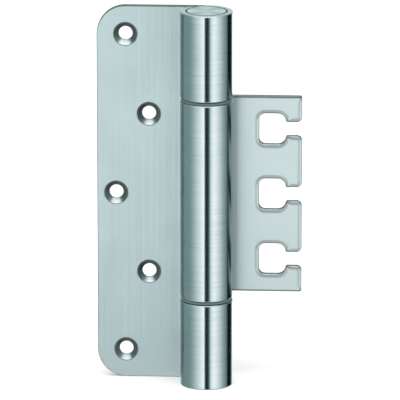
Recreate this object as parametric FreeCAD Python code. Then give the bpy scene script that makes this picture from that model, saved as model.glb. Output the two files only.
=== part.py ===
import FreeCAD, Part
import math
import os

# Commercial door hinge, lying flat open. The door leaf on the left carries the two outer knuckles,
# the frame leaf on the right carries the middle knuckle and the clamp slots.
# Millimetres. +Z runs up the pin axis, +X points to the frame leaf, and the leaves lie on the +Y side.
# The origin is on the pin axis, at the lower end of the barrel.

# Barrel, rolled from the leaves' own sheet
HINGE_LENGTH = 160.0
BARREL_DIAMETER = 22.0
SHEET_THICKNESS = 3.0
MIDDLE_KNUCKLE_LENGTH = 84.0
JOINT_GAP = 1.5
SEAM_GAP = 0.4
RIM_CHAMFER = 0.5

# Door leaf, with countersunk screw holes in a zigzag
DOOR_LEAF_WIDTH = 46.0
DOOR_CORNER_RADIUS = 12.0
DOOR_FRONT_CHAMFER = 0.3
CUTOUT_CLEARANCE = 1.05
CUTOUT_CORNER_RADIUS = 1.2
SCREW_HOLE_DIAMETER = 5.8
COUNTERSINK_DIAMETER = 9.7
COUNTERSINK_ANGLE = 90.0
SCREW_END_MARGIN = 12.0
SCREW_EDGE_END = 11.9
SCREW_EDGE_INNER = 21.6
SCREW_EDGE_MIDDLE = 7.9

# Frame leaf, blanked with a broken front edge and three slots open to its outer edge
FRAME_LEAF_WIDTH = 39.3
FRAME_FRONT_CHAMFER = 0.6
FRAME_CORNER_LAND = 0.15
SLOT_COUNT = 3
SLOT_END_MARGIN = 14.0
SLOT_DEPTH = 17.8
SLOT_NECK_LENGTH = 6.7
SLOT_NECK_HEIGHT = 6.1
SLOT_CHAMBER_HEIGHT = 13.3
SLOT_CORNER_RADIUS = 2.6
SLOT_SHOULDER_RADIUS = 3.4
SLOT_TIP_LAND = 0.35
SLOT_MOUTH_RADIUS = 2.1

# Bearing inside the barrel
BEARING_WALL = 2.0
PIN_CHAMFER = 0.5
BEARING_CLEARANCE = 0.04
BUSH_LENGTH = 24.0
SHOULDER_WALL = 1.2
SHOULDER_CLEARANCE = 0.1
LIP_THICKNESS = 0.9
LIP_RECESS = 0.5

# End caps, flush in the barrel's ends
CAP_THICKNESS = 2.0
CAP_SPIGOT_LENGTH = 3.0
CAP_LEDGE = 1.25
CAP_CLEARANCE = 0.2
CAP_EDGE_CHAMFER = 0.3

# Worked out from the values above
BARREL_RADIUS = BARREL_DIAMETER / 2
LEAF_FRONT = BARREL_RADIUS - SHEET_THICKNESS
BORE_RADIUS = LEAF_FRONT
PIN_RADIUS = BORE_RADIUS - BEARING_WALL
MIDDLE_LOW = (HINGE_LENGTH - MIDDLE_KNUCKLE_LENGTH) / 2
OUTER_KNUCKLE_LENGTH = MIDDLE_LOW - JOINT_GAP
COUNTERBORE_RADIUS = BORE_RADIUS + CAP_LEDGE
PIN_END = CAP_THICKNESS + CAP_SPIGOT_LENGTH

ORIGIN = FreeCAD.Vector(0, 0, 0)
UP = FreeCAD.Vector(0, 0, 1)
BACKWARD = FreeCAD.Vector(0, 1, 0)
DOOR_SIDE = -1
FRAME_SIDE = 1
RIGHTWARD, LEFTWARD = 0, 180
LEFT_TURN, RIGHT_TURN = 90, -90
HALF_LEFT_TURN = 45
TOLERANCE = 1e-4


class Pen:
    """Draws an outline of straight runs and tangent arcs in an X-Z plane."""

    def __init__(self, x, y, z, heading):
        self.start = FreeCAD.Vector(x, y, z)
        self.point = self.start
        self.heading = heading
        self.edges = []

    def direction(self, turned=0):
        angle = math.radians(self.heading + turned)
        return FreeCAD.Vector(math.cos(angle), 0, math.sin(angle))

    def line_to(self, end):
        self.edges.append(Part.LineSegment(self.point, end).toShape())
        self.point = end

    def forward(self, length):
        self.line_to(self.point + self.direction() * length)

    def arc(self, radius, degrees):
        """A tangent arc, to the left for a positive angle."""
        side = math.copysign(90, degrees)
        centre = self.point + self.direction(side) * radius
        middle = centre + self.direction(degrees / 2 - side) * radius
        end = centre + self.direction(degrees - side) * radius
        self.edges.append(Part.Arc(self.point, middle, end).toShape())
        self.point = end
        self.heading += degrees

    def corner(self, degrees):
        self.heading += degrees

    def face(self):
        if not self.point.isEqual(self.start, TOLERANCE):
            self.line_to(self.start)
        return Part.Face(Part.Wire(self.edges))


def rolled_knuckle(low, length, leaf_side):
    """Sheet rolled into a chamfered ring, its end one seam short of the leaf's front face."""
    pen = Pen(BORE_RADIUS, 0, low, RIGHTWARD)
    pen.forward(SHEET_THICKNESS - RIM_CHAMFER)
    for run in (length - 2 * RIM_CHAMFER, SHEET_THICKNESS - RIM_CHAMFER):
        pen.corner(HALF_LEFT_TURN)
        pen.forward(RIM_CHAMFER * math.sqrt(2))
        pen.corner(HALF_LEFT_TURN)
        pen.forward(run)
    ring = pen.face().revolve(ORIGIN, UP, 360)
    seam_left = min(0, leaf_side * BARREL_DIAMETER)
    seam_corner = FreeCAD.Vector(seam_left, LEAF_FRONT - SEAM_GAP, low)
    seam = Part.makeBox(BARREL_DIAMETER, BARREL_DIAMETER, length, seam_corner)
    return ring.cut(seam)


def leaf_plate(outline, front_chamfer):
    """Sheet cut to the outline, its front edges broken up to the line where it runs into a knuckle."""
    plate = outline.extrude(BACKWARD * SHEET_THICKNESS)
    broken = []
    for edge in plate.Edges:
        on_front = edge.BoundBox.YMax < LEAF_FRONT + TOLERANCE
        at_knuckle = abs(edge.CenterOfMass.x) < TOLERANCE
        if on_front and not at_knuckle:
            broken.append(edge)
    return plate.makeChamfer(front_chamfer, broken)


def door_leaf_outline():
    """Round outer corners, and a cut-out on the pin side that lets the middle knuckle turn."""
    knuckle_half_chord = math.sqrt(BARREL_RADIUS ** 2 - LEAF_FRONT ** 2)
    cutout_depth = knuckle_half_chord + CUTOUT_CLEARANCE
    cutout_height = HINGE_LENGTH - 2 * OUTER_KNUCKLE_LENGTH
    pen = Pen(0, LEAF_FRONT, 0, LEFTWARD)
    pen.forward(DOOR_LEAF_WIDTH - DOOR_CORNER_RADIUS)
    pen.arc(DOOR_CORNER_RADIUS, RIGHT_TURN)
    pen.forward(HINGE_LENGTH - 2 * DOOR_CORNER_RADIUS)
    pen.arc(DOOR_CORNER_RADIUS, RIGHT_TURN)
    pen.forward(DOOR_LEAF_WIDTH - DOOR_CORNER_RADIUS)
    pen.corner(RIGHT_TURN)
    pen.forward(OUTER_KNUCKLE_LENGTH)
    pen.corner(RIGHT_TURN)
    pen.forward(cutout_depth - CUTOUT_CORNER_RADIUS)
    pen.arc(CUTOUT_CORNER_RADIUS, LEFT_TURN)
    pen.forward(cutout_height - 2 * CUTOUT_CORNER_RADIUS)
    pen.arc(CUTOUT_CORNER_RADIUS, LEFT_TURN)
    pen.forward(cutout_depth - CUTOUT_CORNER_RADIUS)
    return pen.face()


def screw_hole(x, z):
    """A through hole with a countersink in the front face."""
    hole_radius = SCREW_HOLE_DIAMETER / 2
    sink_radius = COUNTERSINK_DIAMETER / 2
    sink_depth = (sink_radius - hole_radius) / math.tan(math.radians(COUNTERSINK_ANGLE / 2))
    centre = FreeCAD.Vector(x, LEAF_FRONT, z)
    hole = Part.makeCylinder(hole_radius, SHEET_THICKNESS, centre, BACKWARD)
    sink = Part.makeCone(sink_radius, hole_radius, sink_depth, centre, BACKWARD)
    return hole.fuse(sink)


def make_door_leaf():
    plate = leaf_plate(door_leaf_outline(), DOOR_FRONT_CHAMFER)
    edge_distances = (
        SCREW_EDGE_END, SCREW_EDGE_INNER, SCREW_EDGE_MIDDLE, SCREW_EDGE_INNER, SCREW_EDGE_END)
    pitch = (HINGE_LENGTH - 2 * SCREW_END_MARGIN) / (len(edge_distances) - 1)
    for row, distance in enumerate(edge_distances):
        plate = plate.cut(screw_hole(distance - DOOR_LEAF_WIDTH, SCREW_END_MARGIN + row * pitch))
    upper_low = HINGE_LENGTH - OUTER_KNUCKLE_LENGTH
    knuckles = [rolled_knuckle(low, OUTER_KNUCKLE_LENGTH, DOOR_SIDE) for low in (0, upper_low)]
    leaf = plate.fuse(knuckles).removeSplitter()
    for low in (0, HINGE_LENGTH - CAP_THICKNESS):
        leaf = leaf.cut(Part.makeCylinder(COUNTERBORE_RADIUS, CAP_THICKNESS, UP * low))
    return leaf


def draw_slot(pen):
    """One clamp slot: a narrow neck that opens into a wide chamber, drawn up the leaf's outer edge."""
    tip_radius = FRAME_FRONT_CHAMFER + SLOT_TIP_LAND
    lobe_radii = tip_radius + SLOT_SHOULDER_RADIUS
    lobe_step = (SLOT_CHAMBER_HEIGHT - SLOT_NECK_HEIGHT) / 2
    lobe_turn = math.degrees(math.acos(1 - lobe_step / lobe_radii))
    tip_reach = tip_radius * math.sin(math.radians(lobe_turn))
    shoulder_reach = SLOT_SHOULDER_RADIUS * math.sin(math.radians(lobe_turn))
    neck_run = SLOT_NECK_LENGTH - SLOT_MOUTH_RADIUS - tip_reach
    chamber_run = SLOT_DEPTH - SLOT_NECK_LENGTH - shoulder_reach - SLOT_CORNER_RADIUS
    pen.arc(SLOT_MOUTH_RADIUS, LEFT_TURN)
    pen.forward(neck_run)
    pen.arc(tip_radius, lobe_turn)
    pen.arc(SLOT_SHOULDER_RADIUS, -lobe_turn)
    pen.forward(chamber_run)
    pen.arc(SLOT_CORNER_RADIUS, RIGHT_TURN)
    pen.forward(SLOT_CHAMBER_HEIGHT - 2 * SLOT_CORNER_RADIUS)
    pen.arc(SLOT_CORNER_RADIUS, RIGHT_TURN)
    pen.forward(chamber_run)
    pen.arc(SLOT_SHOULDER_RADIUS, -lobe_turn)
    pen.arc(tip_radius, lobe_turn)
    pen.forward(neck_run)
    pen.arc(SLOT_MOUTH_RADIUS, LEFT_TURN)


def frame_leaf_outline():
    corner_radius = FRAME_FRONT_CHAMFER + FRAME_CORNER_LAND
    mouth_half = SLOT_NECK_HEIGHT / 2 + SLOT_MOUTH_RADIUS
    pitch = (MIDDLE_KNUCKLE_LENGTH - 2 * SLOT_END_MARGIN) / (SLOT_COUNT - 1)
    pen = Pen(0, LEAF_FRONT, MIDDLE_LOW, RIGHTWARD)
    pen.forward(FRAME_LEAF_WIDTH - corner_radius)
    pen.arc(corner_radius, LEFT_TURN)
    pen.forward(SLOT_END_MARGIN - mouth_half - corner_radius)
    for slot in range(SLOT_COUNT):
        if slot:
            pen.forward(pitch - 2 * mouth_half)
        draw_slot(pen)
    pen.forward(SLOT_END_MARGIN - mouth_half - corner_radius)
    pen.arc(corner_radius, LEFT_TURN)
    pen.forward(FRAME_LEAF_WIDTH - corner_radius)
    return pen.face()


def make_frame_leaf():
    plate = leaf_plate(frame_leaf_outline(), FRAME_FRONT_CHAMFER)
    knuckle = rolled_knuckle(MIDDLE_LOW, MIDDLE_KNUCKLE_LENGTH, FRAME_SIDE)
    return plate.fuse(knuckle).removeSplitter()


def make_hinge_pin():
    pin = Part.makeCylinder(PIN_RADIUS, HINGE_LENGTH - 2 * PIN_END, UP * PIN_END)
    ends = [edge for edge in pin.Edges if edge.Closed]
    return pin.makeChamfer(PIN_CHAMFER, ends)


def make_lower_pin_sleeve():
    """A sleeve pressed into the outer knuckle, holding the pin."""
    length = OUTER_KNUCKLE_LENGTH - PIN_END
    outside = Part.makeCylinder(BORE_RADIUS, length, UP * PIN_END)
    inside = Part.makeCylinder(PIN_RADIUS, length, UP * PIN_END)
    return outside.cut(inside)


def make_lower_bearing_bush():
    """A plain bearing pressed into the middle knuckle; its shoulder and lip part the knuckles."""
    shoulder_height = JOINT_GAP - SHOULDER_CLEARANCE
    shoulder_low = MIDDLE_LOW - shoulder_height
    lip_low = MIDDLE_LOW - (shoulder_height + LIP_THICKNESS) / 2
    bore_radius = PIN_RADIUS + BEARING_CLEARANCE
    tube = Part.makeCylinder(BORE_RADIUS, BUSH_LENGTH, UP * MIDDLE_LOW)
    shoulder = Part.makeCylinder(BORE_RADIUS + SHOULDER_WALL, shoulder_height, UP * shoulder_low)
    lip = Part.makeCylinder(BARREL_RADIUS - LIP_RECESS, LIP_THICKNESS, UP * lip_low)
    bore = Part.makeCylinder(bore_radius, shoulder_height + BUSH_LENGTH, UP * shoulder_low)
    return tube.fuse([shoulder, lip]).cut(bore)


def make_lower_end_cap():
    """A turned disc with a spigot, pressed into the barrel's end."""
    head = Part.makeCylinder(COUNTERBORE_RADIUS - CAP_CLEARANCE, CAP_THICKNESS)
    outer_rim = [edge for edge in head.Edges if edge.BoundBox.ZMax < TOLERANCE]
    head = head.makeChamfer(CAP_EDGE_CHAMFER, outer_rim)
    spigot = Part.makeCylinder(BORE_RADIUS, CAP_SPIGOT_LENGTH, UP * CAP_THICKNESS)
    return head.fuse(spigot)


nodes = {
    "door_leaf": make_door_leaf(),
    "frame_leaf": make_frame_leaf(),
    "hinge_pin": make_hinge_pin(),
}
lower_pieces = {
    "pin_sleeve": make_lower_pin_sleeve(),
    "bearing_bush": make_lower_bearing_bush(),
    "end_cap": make_lower_end_cap(),
}
for name, lower_piece in lower_pieces.items():
    nodes["lower_" + name] = lower_piece
    nodes["upper_" + name] = lower_piece.mirror(UP * (HINGE_LENGTH / 2), UP)

os.makedirs("parts", exist_ok=True)
for name, shape in nodes.items():
    shape.exportStep("parts/" + name + ".step")
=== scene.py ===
import math
from collections import namedtuple

import bpy
import numpy as np
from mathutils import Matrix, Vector, geometry


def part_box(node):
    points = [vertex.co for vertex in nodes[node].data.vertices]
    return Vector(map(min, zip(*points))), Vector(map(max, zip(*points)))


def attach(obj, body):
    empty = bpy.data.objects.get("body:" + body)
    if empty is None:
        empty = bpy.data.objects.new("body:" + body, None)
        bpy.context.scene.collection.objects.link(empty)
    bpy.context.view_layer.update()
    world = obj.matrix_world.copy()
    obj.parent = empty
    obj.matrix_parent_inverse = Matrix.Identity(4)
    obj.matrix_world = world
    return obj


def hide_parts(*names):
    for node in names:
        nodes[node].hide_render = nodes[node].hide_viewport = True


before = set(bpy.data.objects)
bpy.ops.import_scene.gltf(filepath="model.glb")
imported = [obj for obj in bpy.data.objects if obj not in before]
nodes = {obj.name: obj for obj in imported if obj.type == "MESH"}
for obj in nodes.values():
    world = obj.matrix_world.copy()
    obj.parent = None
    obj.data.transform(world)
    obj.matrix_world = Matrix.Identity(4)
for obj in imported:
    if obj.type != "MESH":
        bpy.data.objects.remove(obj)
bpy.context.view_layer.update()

# Pin and pin sleeves: a ground steel pin runs through the whole barrel, held by two turned steel
# sleeves that are pressed into the outer knuckles. The knuckles and the end caps hide them.
MM = 0.001
GROUND_STEEL = (0.60, 0.62, 0.63, 1.0)
TURNED_STEEL = (0.55, 0.58, 0.59, 1.0)
TURNING_MARKS = (90.0, 90.0, 5200.0)
STREAK_DETAIL = 4.0
STREAK_ROUGHNESS = 0.65
CLOUD_DETAIL = 2.0
CLOUD_DRIFT = 60.0
GRAIN_SHARE = 0.6
GRAIN_RELIEF = 0.02 * MM


def marks_group(name):
    """Starts a group of surface marks: Cloud is soft noise in Object coordinates at the scale of Drift,
    and Grain is left to the caller. Returns the tree, its input and output and its coordinates."""
    tree = bpy.data.node_groups.new(name, "ShaderNodeTree")
    tree.interface.new_socket("Scale", in_out="INPUT", socket_type="NodeSocketVector")
    tree.interface.new_socket("Drift", in_out="INPUT", socket_type="NodeSocketFloat")
    tree.interface.new_socket("Grain", in_out="OUTPUT", socket_type="NodeSocketFloat")
    tree.interface.new_socket("Cloud", in_out="OUTPUT", socket_type="NodeSocketFloat")
    entry = tree.nodes.new("NodeGroupInput")
    exit_node = tree.nodes.new("NodeGroupOutput")
    place = tree.nodes.new("ShaderNodeTexCoord")
    cloud = tree.nodes.new("ShaderNodeTexNoise")
    cloud.inputs["Detail"].default_value = CLOUD_DETAIL
    tree.links.new(place.outputs["Object"], cloud.inputs["Vector"])
    tree.links.new(entry.outputs["Drift"], cloud.inputs["Scale"])
    tree.links.new(cloud.outputs["Fac"], exit_node.inputs["Cloud"])
    return tree, entry, exit_node, place


def steel_grain_group():
    """Long streaks: noise in Object coordinates, scaled hard across the grain and gently along it."""
    tree, entry, exit_node, place = marks_group("steel_grain")
    stretch = tree.nodes.new("ShaderNodeMapping")
    streaks = tree.nodes.new("ShaderNodeTexNoise")
    streaks.inputs["Scale"].default_value = 1.0
    streaks.inputs["Detail"].default_value = STREAK_DETAIL
    streaks.inputs["Roughness"].default_value = STREAK_ROUGHNESS
    tree.links.new(place.outputs["Object"], stretch.inputs["Vector"])
    tree.links.new(entry.outputs["Scale"], stretch.inputs["Scale"])
    tree.links.new(stretch.outputs["Vector"], streaks.inputs["Vector"])
    tree.links.new(streaks.outputs["Fac"], exit_node.inputs["Grain"])
    return tree


steel_grain = steel_grain_group()


def steel_material(name, tint, grain_scale, roughness, contrast, bump,
                   anisotropy=0.0, marks=steel_grain):
    """Metal whose colour and roughness swing about their middle value by the contrast, with a mix of
    grain and cloud; the grain is its relief too. The nodes that give them are called colour and
    roughness."""
    material = bpy.data.materials.new(name)
    material.use_nodes = True
    tree = material.node_tree
    shader = tree.nodes["Principled BSDF"]
    shader.inputs["Metallic"].default_value = 1.0
    shader.inputs["Anisotropic"].default_value = anisotropy
    grain = tree.nodes.new("ShaderNodeGroup")
    grain.node_tree = marks
    grain.inputs["Scale"].default_value = grain_scale
    grain.inputs["Drift"].default_value = CLOUD_DRIFT
    blend = tree.nodes.new("ShaderNodeMath")
    blend.operation = "MULTIPLY_ADD"
    blend.inputs[1].default_value = GRAIN_SHARE
    tree.links.new(grain.outputs["Grain"], blend.inputs[0])
    cloud = tree.nodes.new("ShaderNodeMath")
    cloud.operation = "MULTIPLY"
    cloud.inputs[1].default_value = 1 - GRAIN_SHARE
    tree.links.new(grain.outputs["Cloud"], cloud.inputs[0])
    tree.links.new(cloud.outputs[0], blend.inputs[2])
    colour = tree.nodes.new("ShaderNodeMix")
    colour.name = "colour"
    colour.data_type = "RGBA"
    colour.inputs["A"].default_value = tuple(c * (1 - contrast) for c in tint[:3]) + (1.0,)
    colour.inputs["B"].default_value = tuple(min(1.0, c * (1 + contrast)) for c in tint[:3]) + (1.0,)
    tree.links.new(blend.outputs[0], colour.inputs["Factor"])
    tree.links.new(colour.outputs["Result"], shader.inputs["Base Color"])
    rough = tree.nodes.new("ShaderNodeMapRange")
    rough.name = "roughness"
    rough.inputs["To Min"].default_value = roughness * (1 + contrast)
    rough.inputs["To Max"].default_value = roughness * (1 - contrast)
    tree.links.new(blend.outputs[0], rough.inputs["Value"])
    tree.links.new(rough.outputs["Result"], shader.inputs["Roughness"])
    relief = tree.nodes.new("ShaderNodeBump")
    relief.inputs["Strength"].default_value = bump
    relief.inputs["Distance"].default_value = GRAIN_RELIEF
    tree.links.new(grain.outputs["Grain"], relief.inputs["Height"])
    tree.links.new(relief.outputs["Normal"], shader.inputs["Normal"])
    return material


def dress(node, material):
    """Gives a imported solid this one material."""
    nodes[node].data.materials.clear()
    nodes[node].data.materials.append(material)


pin_steel = steel_material(
    "pin_steel", GROUND_STEEL, TURNING_MARKS, roughness=0.16, contrast=0.05, bump=0.1)
sleeve_steel = steel_material(
    "sleeve_steel", TURNED_STEEL, TURNING_MARKS, roughness=0.3, contrast=0.1, bump=0.3)
dress("hinge_pin", pin_steel)
dress("upper_pin_sleeve", sleeve_steel)
dress("lower_pin_sleeve", sleeve_steel)

# Bearing bushes: grey filled-polymer plain bearings, moulded, pressed into the middle knuckle.
# Their lips show as thin matt rings in the two joints of the barrel.
POLYMER_GREY = (0.16, 0.23, 0.235, 1.0)
POLYMER_FLECK = (0.12, 0.17, 0.175, 1.0)
POLYMER_ROUGHNESS = 0.62
POLYMER_SPECULAR = 0.3
FLECK_SCALE = 2600.0
FLECK_DETAIL = 3.0
FLECK_BUMP = 0.3
FLECK_RELIEF = 0.03 * MM


def polymer_material():
    """Matt filled plastic: two close greys mixed by fine noise, which is also its relief."""
    material = bpy.data.materials.new("bearing_polymer")
    material.use_nodes = True
    tree = material.node_tree
    shader = tree.nodes["Principled BSDF"]
    shader.inputs["Roughness"].default_value = POLYMER_ROUGHNESS
    shader.inputs["Specular IOR Level"].default_value = POLYMER_SPECULAR
    place = tree.nodes.new("ShaderNodeTexCoord")
    fleck = tree.nodes.new("ShaderNodeTexNoise")
    fleck.inputs["Scale"].default_value = FLECK_SCALE
    fleck.inputs["Detail"].default_value = FLECK_DETAIL
    tree.links.new(place.outputs["Object"], fleck.inputs["Vector"])
    colour = tree.nodes.new("ShaderNodeMix")
    colour.data_type = "RGBA"
    colour.inputs["A"].default_value = POLYMER_FLECK
    colour.inputs["B"].default_value = POLYMER_GREY
    tree.links.new(fleck.outputs["Fac"], colour.inputs["Factor"])
    tree.links.new(colour.outputs["Result"], shader.inputs["Base Color"])
    relief = tree.nodes.new("ShaderNodeBump")
    relief.inputs["Strength"].default_value = FLECK_BUMP
    relief.inputs["Distance"].default_value = FLECK_RELIEF
    tree.links.new(fleck.outputs["Fac"], relief.inputs["Height"])
    tree.links.new(relief.outputs["Normal"], shader.inputs["Normal"])
    return material


bearing_polymer = polymer_material()
dress("upper_bearing_bush", bearing_polymer)
dress("lower_bearing_bush", bearing_polymer)

# Frame leaf: stainless sheet blanked with three clamp slots, so its front edges are drawn down by the
# die, and rolled at one side into the middle knuckle. The leaf is satin, the knuckle ground all round.
frame_low, frame_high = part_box("frame_leaf")
BARREL_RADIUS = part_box("door_leaf")[1].x
BORE_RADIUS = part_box("lower_pin_sleeve")[1].x
SHEET = BARREL_RADIUS - BORE_RADIUS
SEAM_GAP = 0.4 * MM
TONGUE_LENGTH = 60.0 * MM
TONGUE_CORNER = 0.6 * MM
TONGUE_STEPS = 180
RIM_ROUNDING = 0.45 * MM
BORE_ROUNDING = 0.12 * MM
BACK_ROUNDING = 0.18 * MM
EDGE_STEPS = 6
FLAT_STEP = 2.0 * MM
ARC_STEP = math.radians(6)
LEAST_ARC_STEPS = 3
# Blender's number for a fill inside the outline only, and its tolerance in millimetres.
FILL_INSIDE = 1
FILL_TOLERANCE = 1e-6

SLOT_COUNT = 3
SLOT_END_MARGIN = 14.0 * MM
SLOT_DEPTH = 17.8 * MM
SLOT_NECK_LENGTH = 6.7 * MM
SLOT_NECK_HEIGHT = 6.1 * MM
SLOT_CHAMBER_HEIGHT = 13.3 * MM
SLOT_CORNER_RADIUS = 2.6 * MM
SLOT_SHOULDER_RADIUS = 3.4 * MM
SLOT_TIP_RADIUS = 0.95 * MM
SLOT_MOUTH_RADIUS = 2.1 * MM
FRAME_CORNER_RADIUS = 0.75 * MM
DIE_ROLL_WIDTH = 1.75 * MM
DIE_ROLL_DEPTH = 0.7 * MM
FRAME_SHEARED_ROUNDING = 0.8 * MM
ROLL_FADE = 4.0 * MM
# Room for edge rounding: a share of a bend's radius, and its growth with the way from a tight step.
BEND_ROUNDING = 0.95
ROUNDING_GROWTH = 0.8
# Up to this share of the die roll an edge is all sheared; the onsets say how soon the masks of painted
# edge shade are full.
SHEARED_SHARE = 0.3
SHEARED_ONSET = 3.0
BURNISHED_ONSET = 4.0

# Numbers of the finishes, in the order of each leaf's materials.
FLAT_SHEET, KNUCKLE, KNUCKLE_END, SCREW_HOLE = range(4)
SATIN_STEEL = (0.80, 0.895, 0.90, 1.0)
BARREL_STEEL = (0.60, 0.67, 0.68, 1.0)
# Painted shade on the leaves' edges: the colour there is multiplied by these shares, the first on the
# cut walls and narrow cut edges, the second on the die-rolled band.
SHEARED_PAINTED_SHADE = 0.17
BURNISHED_PAINTED_SHADE = 0.7
BURNISHED_ROUGHNESS = 0.28
LEAF_GRAIN = (750.0, 750.0, 9.0)
BARREL_GRAIN = (25.0, 25.0, 1100.0)
FACED_STEEL = (0.60, 0.72, 0.73, 1.0)
FACING_MARKS = (900.0, 900.0, 900.0)

# One step of an outline: a run has a length, and a bend has a radius and a turn.
Step = namedtuple("Step", "length radius turn pieces room")


def run(length, pieces=None, room=math.inf):
    """A straight step of the outline; room limits the rounding of its edge."""
    return Step(length, 0.0, 0.0, pieces or max(1, math.ceil(length / FLAT_STEP)), room)


def bend(radius, degrees):
    """A tangent arc of the outline. A positive angle turns left, and there a share of the radius limits
    the rounding of its edge."""
    turn = math.radians(degrees)
    pieces = max(LEAST_ARC_STEPS, math.ceil(abs(turn) / ARC_STEP))
    return Step(0.0, radius, turn, pieces, BEND_ROUNDING * radius if turn > 0 else math.inf)


def tongue(height):
    """The strip of the blank that is rolled: away from the pin line, up, and back to it."""
    side = run(TONGUE_LENGTH - TONGUE_CORNER, pieces=TONGUE_STEPS)
    corner = bend(TONGUE_CORNER, 90)
    return [side, corner, run(height - 2 * TONGUE_CORNER, pieces=1), corner, side]


def tongue_ends(steps_before, tongue_steps):
    """Numbers of the outline points where a tongue leaves and meets the pin line."""
    first = sum(step.pieces for step in steps_before)
    return first, first + sum(step.pieces for step in tongue_steps)


def slot_steps():
    """One clamp slot: a rounded mouth, a narrow neck, and a chamber that opens through round shoulders.
    Tip and shoulder turn by the same angle, whose two arcs together climb from neck to chamber."""
    climb = (SLOT_CHAMBER_HEIGHT - SLOT_NECK_HEIGHT) / 2
    turn = math.acos(1 - climb / (SLOT_TIP_RADIUS + SLOT_SHOULDER_RADIUS))
    tip_reach = SLOT_TIP_RADIUS * math.sin(turn)
    shoulder_reach = SLOT_SHOULDER_RADIUS * math.sin(turn)
    mouth = bend(SLOT_MOUTH_RADIUS, 90)
    neck = run(SLOT_NECK_LENGTH - SLOT_MOUTH_RADIUS - tip_reach)
    tip = bend(SLOT_TIP_RADIUS, math.degrees(turn))
    shoulder = bend(SLOT_SHOULDER_RADIUS, -math.degrees(turn))
    chamber = run(SLOT_DEPTH - SLOT_NECK_LENGTH - shoulder_reach - SLOT_CORNER_RADIUS)
    corner = bend(SLOT_CORNER_RADIUS, -90)
    end = run(SLOT_CHAMBER_HEIGHT - 2 * SLOT_CORNER_RADIUS)
    way_in = [mouth, neck, tip, shoulder, chamber, corner]
    return way_in + [end] + way_in[::-1]


def trace(start, heading, steps):
    """Walks an outline with the metal on its left.
    A run puts points at equal shares of its length; a bend turns the heading by equal shares of its
    angle about a centre one radius to the side. Returns the points, the normals that point into the
    metal and the room for edge rounding: each step's own limit, or less near a tighter step."""
    def leftward(angle):
        """Unit vector to the left of a heading."""
        return np.stack([-np.sin(angle), np.cos(angle)], -1)

    point = np.array(start)
    points, normals, limits = [], [], []
    for step in steps:
        share = np.arange(step.pieces)[:, None] / step.pieces
        headings = heading + step.turn * share[:, 0]
        if step.radius:
            side = math.copysign(step.radius, step.turn)
            centre = point + side * leftward(heading)
            points.append(centre - side * leftward(headings))
            point = centre - side * leftward(heading + step.turn)
        else:
            forward = np.array([math.cos(heading), math.sin(heading)]) * step.length
            points.append(point + share * forward)
            point = point + forward
        normals.append(leftward(headings))
        limits.append(np.full(step.pieces, step.room))
        heading += step.turn
    points = np.concatenate(points)
    strides = np.linalg.norm(np.roll(points, -1, 0) - points, axis=1)
    way = np.cumsum(strides) - strides
    apart = np.abs(way[:, None] - way)
    apart = np.minimum(apart, strides.sum() - apart)
    room = (np.concatenate(limits) + ROUNDING_GROWTH * apart).min(1)
    return points, np.concatenate(normals), room


def on_sheet(across, depth):
    """Carries a place on the flat blank to the rolled sheet.
    Before the pin line the blank stays flat. After it, depth through the sheet becomes a radius about
    the pin axis, and the share of the tongue's length becomes a share of the turn that ends one seam
    short of the leaf. Returns x, y and the directions along and through the sheet."""
    radius = BORE_RADIUS + depth
    whole_turn = 2 * np.pi - np.arccos((BORE_RADIUS - SEAM_GAP) / radius)
    angle = whole_turn * np.clip(across, 0, None) / TONGUE_LENGTH
    x = np.where(across < 0, across, radius * np.sin(angle))
    y = radius * np.cos(angle)
    along = np.stack([np.cos(angle), -np.sin(angle), np.zeros_like(angle)], -1)
    through = np.stack([np.sin(angle), np.cos(angle), np.zeros_like(angle)], -1)
    return np.stack([x, y], -1), along, through


def edge_strip(points, normals, front, back):
    """Wraps the edge of the sheet: a quarter ellipse from the front face, the cut wall, and a quarter
    ellipse to the back face. front and back give each ellipse's width on the face and depth in the wall.
    Returns arrays of rows by points: places, normals, and how far each row is off the flat faces."""
    quarter = np.linspace(0, np.pi / 2, EDGE_STEPS + 1)[:, None]
    sine, cosine = np.sin(quarter), np.cos(quarter)
    front_inset, front_depth = front[0] * (1 - sine), front[1] * (1 - cosine)
    back_inset, back_depth = back[0] * (1 - sine), SHEET - back[1] * (1 - cosine)
    inset = np.concatenate([front_inset, back_inset[::-1]])
    depth = np.concatenate([front_depth, back_depth[::-1]])
    outward = np.concatenate([front[1] * sine, (back[1] * sine)[::-1]])
    through_share = np.concatenate([-front[0] * cosine, (back[0] * cosine)[::-1]])
    size = np.hypot(outward, through_share)
    across = points[:, 0] + normals[:, 0] * inset
    height = points[:, 1] + normals[:, 1] * inset
    place, along, through = on_sheet(across, depth)
    places = np.concatenate([place, height[..., None]], -1)
    upward = np.array([0.0, 0.0, 1.0])
    inward = along * normals[:, 0, None] + upward * normals[:, 1, None]
    facing = (through * through_share[..., None] - inward * outward[..., None]) / size[..., None]
    off_face = np.concatenate([sine, sine[::-1]]) * (across < 0)
    return places, facing, off_face


def strip_quads(rows, columns, start):
    """Quads between neighbouring rows of a strip whose columns close into a ring."""
    row, column = np.meshgrid(np.arange(rows - 1), np.arange(columns), indexing="ij")
    following = (column + 1) % columns
    corners = [row * columns + column, (row + 1) * columns + column,
               (row + 1) * columns + following, row * columns + following]
    return np.stack(corners, -1).reshape(-1, 4) + start


def knuckle_quads(tongues, last_row):
    """Quads of the rolled faces: neighbouring points on a tongue's first long side and the points that
    face them on its second, for the strip's first row and, turned over, for its last."""
    ladders = []
    for first, last in tongues:
        out = np.arange(first, (first + last) // 2)
        home = last - (out - first)
        ladder = np.stack([out, out + 1, home - 1, home], -1)
        ladders += [ladder, ladder[:, ::-1] + last_row]
    return np.concatenate(ladders)


def ring_edges(start, count):
    """Pairs of neighbouring numbers round a closed ring."""
    ring = np.arange(count)
    return np.stack([ring, (ring + 1) % count], -1) + start


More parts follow.
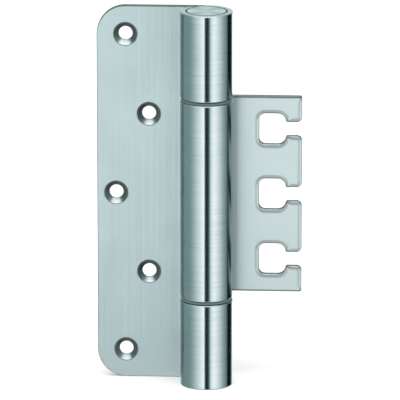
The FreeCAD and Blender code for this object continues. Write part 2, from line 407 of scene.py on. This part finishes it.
def fill_flat(rings):
    """Triangles over the flat region inside the outer ring and outside the round holes.
    Each ring is an array of points with its vertex numbers; a triangle whose centre is nearer to a
    hole's centre than the hole's ring is left out."""
    points = np.concatenate([ring for ring, _ in rings])
    numbers = np.concatenate([number for _, number in rings])
    starts = np.cumsum([0] + [len(ring) for ring, _ in rings])
    edges = np.concatenate([ring_edges(start, len(ring)) for start, (ring, _) in zip(starts, rings)])
    _, _, faces, sources, _, _ = geometry.delaunay_2d_cdt(
        (points / MM).tolist(), edges.tolist(), [], FILL_INSIDE, FILL_TOLERANCE)
    triangles = np.array([source[0] for source in sources])[np.array(faces)]
    a, b, c = (points[triangles[:, corner]] for corner in range(3))
    spread = (b[:, 0] - a[:, 0]) * (c[:, 1] - a[:, 1]) - (b[:, 1] - a[:, 1]) * (c[:, 0] - a[:, 0])
    triangles[spread < 0] = triangles[spread < 0][:, ::-1]
    centres = (a + b + c) / 3
    for ring, _ in rings[1:]:
        middle = ring.mean(0)
        outside = np.linalg.norm(centres - middle, axis=1) > np.linalg.norm(ring[0] - middle)
        triangles, centres = triangles[outside], centres[outside]
    return numbers[triangles]


def sheet_piece(name, vertices, facing, faces, finishes, masks):
    """Puts the arrays into a smooth mesh with its own normals, finishes and masks, as a new object."""
    mesh = bpy.data.meshes.new(name)
    mesh.from_pydata(vertices.tolist(), [], faces)
    mesh.polygons.foreach_set("use_smooth", np.ones(len(mesh.polygons), bool))
    mesh.polygons.foreach_set("material_index", finishes.astype(np.int32))
    for mask, values in masks.items():
        attribute = mesh.attributes.new(mask, "FLOAT", "POINT")
        attribute.data.foreach_set("value", values.astype(np.float32))
    mesh.update()
    mesh.normals_split_custom_set_from_vertices(facing.tolist())
    piece = bpy.data.objects.new(name, mesh)
    bpy.context.scene.collection.objects.link(piece)
    return piece


def leaf_edge(outline, front_edge):
    """The edge strip of a leaf, with its masks.
    front_edge is the width and depth of the front edge where there is room; towards the pin line it
    fades to the knuckle's own rounding. The masks carry painted shade: the narrower the edge, the more
    of it gets the cut edge's painted shade, and the wider, the more gets the die-rolled band's painted
    shade and roughness; the upright wall always gets the cut edge's painted shade."""
    points, normals, room = outline
    fade = np.clip(1 + points[:, 0] / ROLL_FADE, 0, 1)
    fitted = np.minimum(1, room / front_edge[0])
    front = [edge * fitted * (1 - fade) + BORE_ROUNDING * fade for edge in front_edge]
    back = [BACK_ROUNDING * (1 - fade) + RIM_ROUNDING * fade] * 2
    places, facing, off_face = edge_strip(points, normals, front, back)
    roll_share = fitted * front_edge[0] / DIE_ROLL_WIDTH
    drawn = np.clip((roll_share - SHEARED_SHARE) / (1 - SHEARED_SHARE), 0, 1)
    sheared_shade = np.maximum(np.minimum(1, SHEARED_ONSET * off_face) * (1 - drawn), off_face == 1)
    burnish_and_shade = np.minimum(1, BURNISHED_ONSET * off_face) * drawn
    return places, facing, {"sheared_shade": sheared_shade, "burnish_and_shade": burnish_and_shade}


def rolled_leaf(name, outline, tongues, front_edge, mirrored, holes=()):
    """One sheet-metal leaf with its rolled knuckles as a closed mesh.
    The outline's edge strip joins a flat front and back and, over each tongue, a rolled front and back;
    each hole's own strip joins the flats too. A mirrored leaf lies on the +X side."""
    places, facing, masks = leaf_edge(outline, front_edge)
    rows, count = places.shape[:2]
    last_row = (rows - 1) * count
    strip_finish = np.full(count, FLAT_SHEET)
    flat = np.ones(count, bool)
    for first, last in tongues:
        strip_finish[first:last] = KNUCKLE_END
        flat[first + 1:last] = False
    rolled = knuckle_quads(tongues, last_row)
    vertices, shading = [places.reshape(-1, 3)], [facing.reshape(-1, 3)]
    quads = [strip_quads(rows, count, 0), rolled]
    finishes = [np.tile(strip_finish, rows - 1), np.full(len(rolled), KNUCKLE)]
    outer = np.flatnonzero(flat)
    front_rings = [(places[0][outer][:, [0, 2]], outer)]
    back_rings = [(places[-1][outer][:, [0, 2]], outer + last_row)]
    start = rows * count
    for hole_places, hole_facing in holes:
        hole_rows, hole_count = hole_places.shape[:2]
        vertices.append(hole_places.reshape(-1, 3))
        shading.append(hole_facing.reshape(-1, 3))
        quads.append(strip_quads(hole_rows, hole_count, start))
        finishes.append(np.full(len(quads[-1]), SCREW_HOLE))
        numbers = np.arange(hole_count) + start
        front_rings.append((hole_places[0][:, [0, 2]], numbers))
        back_rings.append((hole_places[-1][:, [0, 2]], numbers + (hole_rows - 1) * hole_count))
        start += hole_rows * hole_count
    triangles = np.concatenate([fill_flat(front_rings), fill_flat(back_rings)[:, ::-1]])
    finishes.append(np.full(len(triangles), FLAT_SHEET))

    vertices, shading, quads = (np.concatenate(arrays) for arrays in (vertices, shading, quads))
    if mirrored:
        vertices, shading = vertices * (-1, 1, 1), shading * (-1, 1, 1)
        quads, triangles = quads[:, ::-1], triangles[:, ::-1]
    in_holes = (0, len(vertices) - rows * count)
    masks = {mask: np.pad(values.ravel(), in_holes) for mask, values in masks.items()}
    return sheet_piece(name, vertices, shading, quads.tolist() + triangles.tolist(),
                       np.concatenate(finishes), masks)


def draw_shine(material, direction):
    """Draws the shine out along the direction that a socket in the material's tree gives."""
    tree = material.node_tree
    tree.links.new(direction, tree.nodes["Principled BSDF"].inputs["Tangent"])


def level_direction(tree):
    """The level direction in the sheet: the surface normal crossed with up."""
    surface = tree.nodes.new("ShaderNodeNewGeometry")
    cross = tree.nodes.new("ShaderNodeVectorMath")
    cross.operation = "CROSS_PRODUCT"
    cross.inputs[1].default_value = (0.0, 0.0, 1.0)
    tree.links.new(surface.outputs["Normal"], cross.inputs[0])
    return cross.outputs["Vector"]


def edge_mask(tree, name):
    """Reads one of the masks that the sheet's mesh holds for its edges."""
    mask = tree.nodes.new("ShaderNodeAttribute")
    mask.attribute_name = name
    return mask.outputs["Fac"]


def leaf_steel(name, tint, roughness, contrast, bump, anisotropy):
    """Flat sheet with upright grain and its shine drawn out level. Each edge mask multiplies the colour
    by its tint, which is painted shade on the cut edge and the die-rolled band, and the roughness goes
    to the band's own value where the die drew the edge down."""
    material = steel_material(name, tint, LEAF_GRAIN, roughness, contrast, bump, anisotropy)
    tree = material.node_tree
    shader, colour, rough = (tree.nodes[part] for part in ("Principled BSDF", "colour", "roughness"))
    draw_shine(material, level_direction(tree))
    sheared_shade, burnish_and_shade = edge_mask(tree, "sheared_shade"), edge_mask(tree, "burnish_and_shade")
    # Painted shade on the edges: each mask multiplies the colour by its tint.
    for mask, shade in ((sheared_shade, SHEARED_PAINTED_SHADE), (burnish_and_shade, BURNISHED_PAINTED_SHADE)):
        darken = tree.nodes.new("ShaderNodeMix")
        darken.data_type = "RGBA"
        darken.blend_type = "MULTIPLY"
        darken.inputs["B"].default_value = (shade, shade, shade, 1.0)
        tree.links.new(mask, darken.inputs["Factor"])
        tree.links.new(colour.outputs["Result"], darken.inputs["A"])
        colour = darken
    tree.links.new(colour.outputs["Result"], shader.inputs["Base Color"])
    smooth = tree.nodes.new("ShaderNodeMix")
    smooth.inputs["B"].default_value = BURNISHED_ROUGHNESS
    tree.links.new(burnish_and_shade, smooth.inputs["Factor"])
    tree.links.new(rough.outputs["Result"], smooth.inputs["A"])
    tree.links.new(smooth.outputs["Result"], shader.inputs["Roughness"])
    return material


def barrel_steel(name):
    """Ground barrel: fine marks run round it, so its shine is sharp round it and drawn out along it."""
    material = steel_material(
        name, BARREL_STEEL, BARREL_GRAIN, roughness=0.215, contrast=0.2, bump=0.15, anisotropy=1.0)
    axis = material.node_tree.nodes.new("ShaderNodeCombineXYZ")
    axis.inputs["Z"].default_value = 1.0
    draw_shine(material, axis.outputs["Vector"])
    return material


frame_height = frame_high.z - frame_low.z
frame_edge = frame_high.x - FRAME_CORNER_RADIUS
frame_corner = bend(FRAME_CORNER_RADIUS, 90)
mouth_half = SLOT_NECK_HEIGHT / 2 + SLOT_MOUTH_RADIUS
slot_pitch = (frame_height - 2 * SLOT_END_MARGIN) / (SLOT_COUNT - 1)
slot_margin = run(SLOT_END_MARGIN - mouth_half - FRAME_CORNER_RADIUS)
sheared_side = run(frame_edge, room=FRAME_SHEARED_ROUNDING)
frame_tongue = tongue(frame_height)
frame_steps = [sheared_side] + frame_tongue + [sheared_side, frame_corner, slot_margin]
for slot in range(SLOT_COUNT):
    frame_steps += slot_steps()
    frame_steps.append(slot_margin if slot == SLOT_COUNT - 1 else run(slot_pitch - 2 * mouth_half))
frame_steps.append(frame_corner)
frame_leaf = rolled_leaf(
    "frame_leaf_sheet", trace((-frame_edge, frame_low.z), 0.0, frame_steps),
    [tongue_ends([sheared_side], frame_tongue)], (DIE_ROLL_WIDTH, DIE_ROLL_DEPTH), mirrored=True)
satin_steel = leaf_steel(
    "frame_leaf_satin", SATIN_STEEL, roughness=0.29, contrast=0.06, bump=0.08, anisotropy=0.97)
faced_steel = steel_material(
    "knuckle_ends_faced", FACED_STEEL, FACING_MARKS, roughness=0.36, contrast=0.05, bump=0.1)
for finish in (satin_steel, barrel_steel("frame_knuckle_ground"), faced_steel):
    frame_leaf.data.materials.append(finish)
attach(frame_leaf, "frame_side")
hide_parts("frame_leaf")

# Door leaf: stainless sheet with round corners, five countersunk screw holes and a cut-out for the
# middle knuckle, rolled at both ends into the outer knuckles. The leaf is brushed upright.
door_low, door_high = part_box("door_leaf")
OUTER_KNUCKLE_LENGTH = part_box("lower_pin_sleeve")[1].z
DOOR_CORNER_RADIUS = 12.0 * MM
CUTOUT_CLEARANCE = 1.05 * MM
CUTOUT_CORNER_RADIUS = 1.2 * MM
SCREW_HOLE_RADIUS = 2.9 * MM
COUNTERSINK_RADIUS = 4.85 * MM
COUNTERSINK_ANGLE = math.radians(90)
SCREW_END_MARGIN = 12.0 * MM
SCREW_EDGE_DISTANCES = (11.9 * MM, 21.6 * MM, 7.9 * MM, 21.6 * MM, 11.9 * MM)
DOOR_SHEARED_ROUNDING = 0.3 * MM
HOLE_ROUNDING = 0.1 * MM
HOLE_LAND = 0.3 * MM
HOLE_STEPS = 96
BRUSHED_STEEL = (0.66, 0.78, 0.79, 1.0)
# The screw holes' steel is about half as bright as the sheet's: painted shade in the countersinks and
# bores.
BORED_STEEL_PAINTED_SHADE = (0.33, 0.38, 0.38, 1.0)
BORING_MARKS = (600.0, 2600.0, 600.0)


def rounded_profile(corners, radius):
    """A profile of straight lines with its inner corners rounded: each corner is an arc of that radius,
    tangent to both lines. Returns the points and the normals to the right of the way."""
    lines = np.diff(corners, axis=0)
    lines /= np.linalg.norm(lines, axis=1)[:, None]
    headings = np.arctan2(lines[:, 1], lines[:, 0])
    points, angles = [corners[:1]], [headings[:1]]
    for corner, before, after in zip(corners[1:-1], headings, headings[1:]):
        turn = (after - before + np.pi) % (2 * np.pi) - np.pi
        reach = radius * math.tan(abs(turn) / 2)
        entry = corner - reach * np.array([math.cos(before), math.sin(before)])
        side = math.copysign(radius, turn)
        angle = before + turn * np.linspace(0, 1, EDGE_STEPS + 1)
        swing = np.stack([np.sin(angle) - math.sin(before), math.cos(before) - np.cos(angle)], -1)
        points.append(entry + side * swing)
        angles.append(angle)
    points.append(corners[-1:])
    angles.append(headings[-1:])
    angle = np.concatenate(angles)
    return np.concatenate(points), np.stack([np.sin(angle), -np.cos(angle)], -1)


def screw_hole(x, z):
    """A countersunk hole: the profile of face, cone, bore and back face carried round the hole's axis.
    Returns places and normals as arrays of rows by points."""
    sink_depth = (COUNTERSINK_RADIUS - SCREW_HOLE_RADIUS) / math.tan(COUNTERSINK_ANGLE / 2)
    corners = np.array([
        (COUNTERSINK_RADIUS + HOLE_LAND, 0.0), (COUNTERSINK_RADIUS, 0.0),
        (SCREW_HOLE_RADIUS, sink_depth), (SCREW_HOLE_RADIUS, SHEET),
        (SCREW_HOLE_RADIUS + HOLE_LAND, SHEET)])
    profile, slope = rounded_profile(corners, HOLE_ROUNDING)
    angle = -np.linspace(0, 2 * np.pi, HOLE_STEPS, endpoint=False)
    ray = np.stack([np.cos(angle), np.zeros(HOLE_STEPS), np.sin(angle)], -1)
    deeper = np.array([0.0, 1.0, 0.0])
    centre = np.array([x, BORE_RADIUS, z])
    places = centre + profile[:, None, :1] * ray + profile[:, None, 1:] * deeper
    facing = -slope[:, None, :1] * ray - slope[:, None, 1:] * deeper
    return places, facing


cutout_depth = math.sqrt(BARREL_RADIUS ** 2 - BORE_RADIUS ** 2) + CUTOUT_CLEARANCE
cutout_height = door_high.z - 2 * OUTER_KNUCKLE_LENGTH
cutout_side = run(cutout_depth - CUTOUT_CORNER_RADIUS)
cutout_back = run(cutout_height - 2 * CUTOUT_CORNER_RADIUS)
cutout_corner = bend(CUTOUT_CORNER_RADIUS, -90)
cutout = [cutout_side, cutout_corner, cutout_back, cutout_corner, cutout_side]
door_edge = -door_low.x - DOOR_CORNER_RADIUS
door_end = run(door_edge)
door_corner = bend(DOOR_CORNER_RADIUS, 90)
door_tongue = tongue(OUTER_KNUCKLE_LENGTH)
door_steps = [door_end] + door_tongue + cutout + door_tongue
door_steps += [door_end, door_corner, run(door_high.z - 2 * DOOR_CORNER_RADIUS), door_corner]
lower_tongue_ends = tongue_ends([door_end], door_tongue)
upper_tongue_ends = tongue_ends([door_end] + door_tongue + cutout, door_tongue)
screw_pitch = (door_high.z - 2 * SCREW_END_MARGIN) / (len(SCREW_EDGE_DISTANCES) - 1)
screw_holes = [screw_hole(door_low.x + distance, SCREW_END_MARGIN + row * screw_pitch)
               for row, distance in enumerate(SCREW_EDGE_DISTANCES)]
door_leaf = rolled_leaf(
    "door_leaf_sheet", trace((-door_edge, 0.0), 0.0, door_steps), [lower_tongue_ends, upper_tongue_ends],
    (DOOR_SHEARED_ROUNDING, DOOR_SHEARED_ROUNDING), mirrored=False, holes=screw_holes)
brushed_steel = leaf_steel(
    "door_leaf_brushed", BRUSHED_STEEL, roughness=0.25, contrast=0.17, bump=0.12, anisotropy=0.95)
# The holes' material carries painted shade in the countersinks and bores.
bored_steel_painted_shade = steel_material(
    "door_holes_painted_shade", BORED_STEEL_PAINTED_SHADE, BORING_MARKS, roughness=0.33, contrast=0.08, bump=0.1)
for finish in (brushed_steel, barrel_steel("door_knuckle_ground"), faced_steel, bored_steel_painted_shade):
    door_leaf.data.materials.append(finish)
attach(door_leaf, "door_side")
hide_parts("door_leaf")

# End caps: turned steel plugs, pressed flush into the barrel's two ends with a thin dark gap round them.
# Fine rings from the lathe cover their faces, so that the shine fans out from the middle.
CAP_STEEL = (0.64, 0.775, 0.785, 1.0)
CAP_RING_SCALE = (1500.0, 1500.0, 1500.0)
RING_DETAIL = 3.0


def lathe_rings_group():
    """Rings about the pin axis: noise along the scaled distance from the axis."""
    tree, entry, exit_node, place = marks_group("lathe_rings")
    level = tree.nodes.new("ShaderNodeVectorMath")
    level.operation = "MULTIPLY"
    level.inputs[1].default_value = (1.0, 1.0, 0.0)
    tree.links.new(place.outputs["Object"], level.inputs[0])
    scaled = tree.nodes.new("ShaderNodeVectorMath")
    scaled.operation = "MULTIPLY"
    tree.links.new(level.outputs["Vector"], scaled.inputs[0])
    tree.links.new(entry.outputs["Scale"], scaled.inputs[1])
    radius = tree.nodes.new("ShaderNodeVectorMath")
    radius.operation = "LENGTH"
    tree.links.new(scaled.outputs["Vector"], radius.inputs[0])
    rings = tree.nodes.new("ShaderNodeTexNoise")
    rings.noise_dimensions = "1D"
    rings.inputs["Scale"].default_value = 1.0
    rings.inputs["Detail"].default_value = RING_DETAIL
    tree.links.new(radius.outputs["Value"], rings.inputs["W"])
    tree.links.new(rings.outputs["Fac"], exit_node.inputs["Grain"])
    return tree


def turned_steel():
    """Faced on the lathe: rings round the axis, with the shine drawn out away from the axis."""
    material = steel_material(
        "cap_steel", CAP_STEEL, CAP_RING_SCALE, roughness=0.36, contrast=0.1, bump=0.12,
        anisotropy=0.85, marks=lathe_rings_group())
    place = material.node_tree.nodes.new("ShaderNodeTexCoord")
    draw_shine(material, place.outputs["Object"])
    return material


cap_steel = turned_steel()
dress("upper_end_cap", cap_steel)
dress("lower_end_cap", cap_steel)

# Studio: a pale floor, a soft lamp overhead and a white world. Reflections see soft panels round the
# hinge instead: dim at the left, with a dark slit in front for the lens and a dark flag at the right
# rear. What is reflected a second time, as in the corner beside the barrel, sees panels of its own.
FLOOR_SIZE = 12.0
FLOOR_COLOUR = (0.92, 0.92, 0.92, 1.0)
FLOOR_ROUGHNESS = 0.9
FLOOR_WHITENING = 0.2
WHITE = (1.0, 1.0, 1.0, 1.0)
LAMP_WIDTH = 1.45
LAMP_DEPTH = 0.4
LAMP_POWER = 5.6
LAMP_PLACE = Vector((0.0, -0.25, 1.0))
LAMP_AIM = Vector((0.0, 0.0, 0.0))
WORLD_LEVEL = 0.8
PANEL_LEVEL = 2.46
PANEL_COOLNESS = 1.25
FIRST_REFLECTION = 1.0
HALF_TURN = 180
QUARTER_TURN = 90
# Stops of degrees and brightness: panels go round from the front to the right, heights up from level.
PANELS = (
    (-180, 0.66), (-155, 0.6), (-142, 0.42), (-134, 0.2), (-119, 0.2), (-112, 0.24), (-77, 0.26),
    (-61, 0.36), (-41, 0.58), (-21, 0.84), (-13, 0.96), (-9, 1.0), (-6, 0.85), (-4.5, 0.1),
    (-2.5, 0.012), (10, 0.012), (14, 0.1), (17, 0.3), (20, 0.52), (26, 0.83), (34, 0.93), (41, 0.93),
    (60, 0.69), (81, 0.38), (104, 0.18), (109, 0.004), (144, 0.004), (151, 0.66), (160, 0.8),
    (180, 0.66))
CORNER_PANELS = (
    (-180, 0.05), (-140, 0.05), (-125, 0.8), (-72, 0.7), (-67, 0.24), (-64, 0.01), (-44, 0.01),
    (-37, 0.2), (-20, 0.42), (-14, 0.9), (-5, 0.95), (-1, 0.04), (27, 0.04), (34, 0.75), (42, 0.8),
    (45, 0.5), (49, 0.06), (68, 0.06), (76, 0.1), (90, 0.1), (180, 0.05))
PANEL_HEIGHTS = (
    (-90, 0.02), (-73, 0.02), (-65, 0.36), (-50, 0.5), (-31, 0.7), (-22, 0.5), (-18, 0.28),
    (-16.8, 0.51), (-16.1, 0.71), (-15, 1.0), (-14, 0.93), (-13.1, 0.74), (-11, 0.6), (0, 0.58),
    (15, 0.52), (30, 0.4), (90, 0.38))

reach = FLOOR_SIZE / 2
floor_corners = [(-reach, -reach, 0), (reach, -reach, 0), (reach, reach, 0), (-reach, reach, 0)]
floor_mesh = bpy.data.meshes.new("floor")
floor_mesh.from_pydata(floor_corners, [], [(0, 1, 2, 3)])
floor = bpy.data.objects.new("floor", floor_mesh)
bpy.context.scene.collection.objects.link(floor)
floor.visible_glossy = False
floor_paint = bpy.data.materials.new("floor_paint")
floor_paint.use_nodes = True
floor_tree = floor_paint.node_tree
floor_shader = floor_tree.nodes["Principled BSDF"]
floor_shader.inputs["Base Color"].default_value = FLOOR_COLOUR
floor_shader.inputs["Roughness"].default_value = FLOOR_ROUGHNESS
floor_shader.inputs["Specular IOR Level"].default_value = 0.0
floor_shader.inputs["Emission Color"].default_value = WHITE
floor_path = floor_tree.nodes.new("ShaderNodeLightPath")
whitening = floor_tree.nodes.new("ShaderNodeMath")
whitening.operation = "MULTIPLY"
whitening.inputs[1].default_value = FLOOR_WHITENING
floor_tree.links.new(floor_path.outputs["Is Camera Ray"], whitening.inputs[0])
floor_tree.links.new(whitening.outputs[0], floor_shader.inputs["Emission Strength"])
floor_mesh.materials.append(floor_paint)

lamp_data = bpy.data.lights.new("overhead_softbox", "AREA")
lamp_data.shape = "RECTANGLE"
lamp_data.size = LAMP_WIDTH
lamp_data.size_y = LAMP_DEPTH
lamp_data.energy = LAMP_POWER
lamp = bpy.data.objects.new("overhead_softbox", lamp_data)
lamp.location = LAMP_PLACE
lamp.rotation_euler = (LAMP_AIM - LAMP_PLACE).to_track_quat("-Z", "Y").to_euler()
bpy.context.scene.collection.objects.link(lamp)

world = bpy.data.worlds.new("studio")
bpy.context.scene.world = world
world.use_nodes = True
sky = world.node_tree


def sky_math(operation, *sources):
    """One math node of the world; each source is a number or the socket that feeds it."""
    node = sky.nodes.new("ShaderNodeMath")
    node.operation = operation
    for socket, source in zip(node.inputs, sources):
        if isinstance(source, float):
            socket.default_value = source
        else:
            sky.links.new(source, socket)
    return node.outputs[0]


def sky_ramp(angle, limit, stops):
    """Brightness by an angle that runs from minus to plus limit; limit and stops are in degrees.
    The darker a panel is, the less red it has, as unlit cloth in a cool room."""
    share = sky_math("MULTIPLY_ADD", angle, 0.5 / math.radians(limit), 0.5)
    ramp = sky.nodes.new("ShaderNodeValToRGB")
    while len(ramp.color_ramp.elements) < len(stops):
        ramp.color_ramp.elements.new(0.5)
    for element, (degrees, shade) in zip(ramp.color_ramp.elements, stops):
        element.position = 0.5 + 0.5 * degrees / limit
        element.color = (shade ** PANEL_COOLNESS, shade, shade, 1.0)
    sky.links.new(share, ramp.inputs["Fac"])
    return ramp.outputs["Color"]


look = sky.nodes.new("ShaderNodeTexCoord")
axes = sky.nodes.new("ShaderNodeSeparateXYZ")
sky.links.new(look.outputs["Generated"], axes.inputs[0])
bearing = sky_math("ARCTAN2", axes.outputs["X"], sky_math("MULTIPLY", axes.outputs["Y"], -1.0))
rise = sky_math("ARCSINE", axes.outputs["Z"])
path = sky.nodes.new("ShaderNodeLightPath")
reflected_again = sky_math("GREATER_THAN", path.outputs["Glossy Depth"], FIRST_REFLECTION)
panels = sky.nodes.new("ShaderNodeMix")
panels.data_type = "RGBA"
sky.links.new(reflected_again, panels.inputs["Factor"])
sky.links.new(sky_ramp(bearing, HALF_TURN, PANELS), panels.inputs["A"])
sky.links.new(sky_ramp(bearing, HALF_TURN, CORNER_PANELS), panels.inputs["B"])
panel_strength = sky_math("MULTIPLY", sky_ramp(rise, QUARTER_TURN, PANEL_HEIGHTS), PANEL_LEVEL)
panel_light = sky.nodes.new("ShaderNodeBackground")
sky.links.new(panels.outputs["Result"], panel_light.inputs["Color"])
sky.links.new(panel_strength, panel_light.inputs["Strength"])
seen = sky_math("MAXIMUM", path.outputs["Is Camera Ray"], path.outputs["Is Transmission Ray"])
white_strength = sky_math("MULTIPLY_ADD", seen, 1.0 - WORLD_LEVEL, WORLD_LEVEL)
white_light = sky.nodes["Background"]
white_light.inputs["Color"].default_value = WHITE
sky.links.new(white_strength, white_light.inputs["Strength"])
choice = sky.nodes.new("ShaderNodeMixShader")
sky.links.new(path.outputs["Is Glossy Ray"], choice.inputs["Fac"])
sky.links.new(white_light.outputs[0], choice.inputs[1])
sky.links.new(panel_light.outputs[0], choice.inputs[2])
sky.links.new(choice.outputs[0], sky.nodes["World Output"].inputs["Surface"])

# Camera: a long lens, a little above the hinge and a little to its right. It stands far off, so that
# upright edges stay nearly parallel, and its focal length is written in pixels of the square frame.
CAMERA_AZIMUTH = math.radians(3.0)
CAMERA_ELEVATION = math.radians(15.0)
CAMERA_DISTANCE = 2.4
CAMERA_TARGET = Vector((-2.68 * MM, 0.0, 79.3 * MM))
PIXELS_ACROSS = 400
FOCAL_PIXELS = 5771.5
camera_data = bpy.data.cameras.new("camera")
camera_data.lens = camera_data.sensor_width * FOCAL_PIXELS / PIXELS_ACROSS
camera = bpy.data.objects.new("camera", camera_data)
backward = Vector((math.sin(CAMERA_AZIMUTH) * math.cos(CAMERA_ELEVATION),
                   -math.cos(CAMERA_AZIMUTH) * math.cos(CAMERA_ELEVATION), math.sin(CAMERA_ELEVATION)))
camera.location = CAMERA_TARGET + backward * CAMERA_DISTANCE
camera.rotation_euler = backward.to_track_quat("Z", "Y").to_euler()
bpy.context.scene.collection.objects.link(camera)
bpy.context.scene.camera = camera
bpy.context.scene.view_settings.view_transform = "Standard"
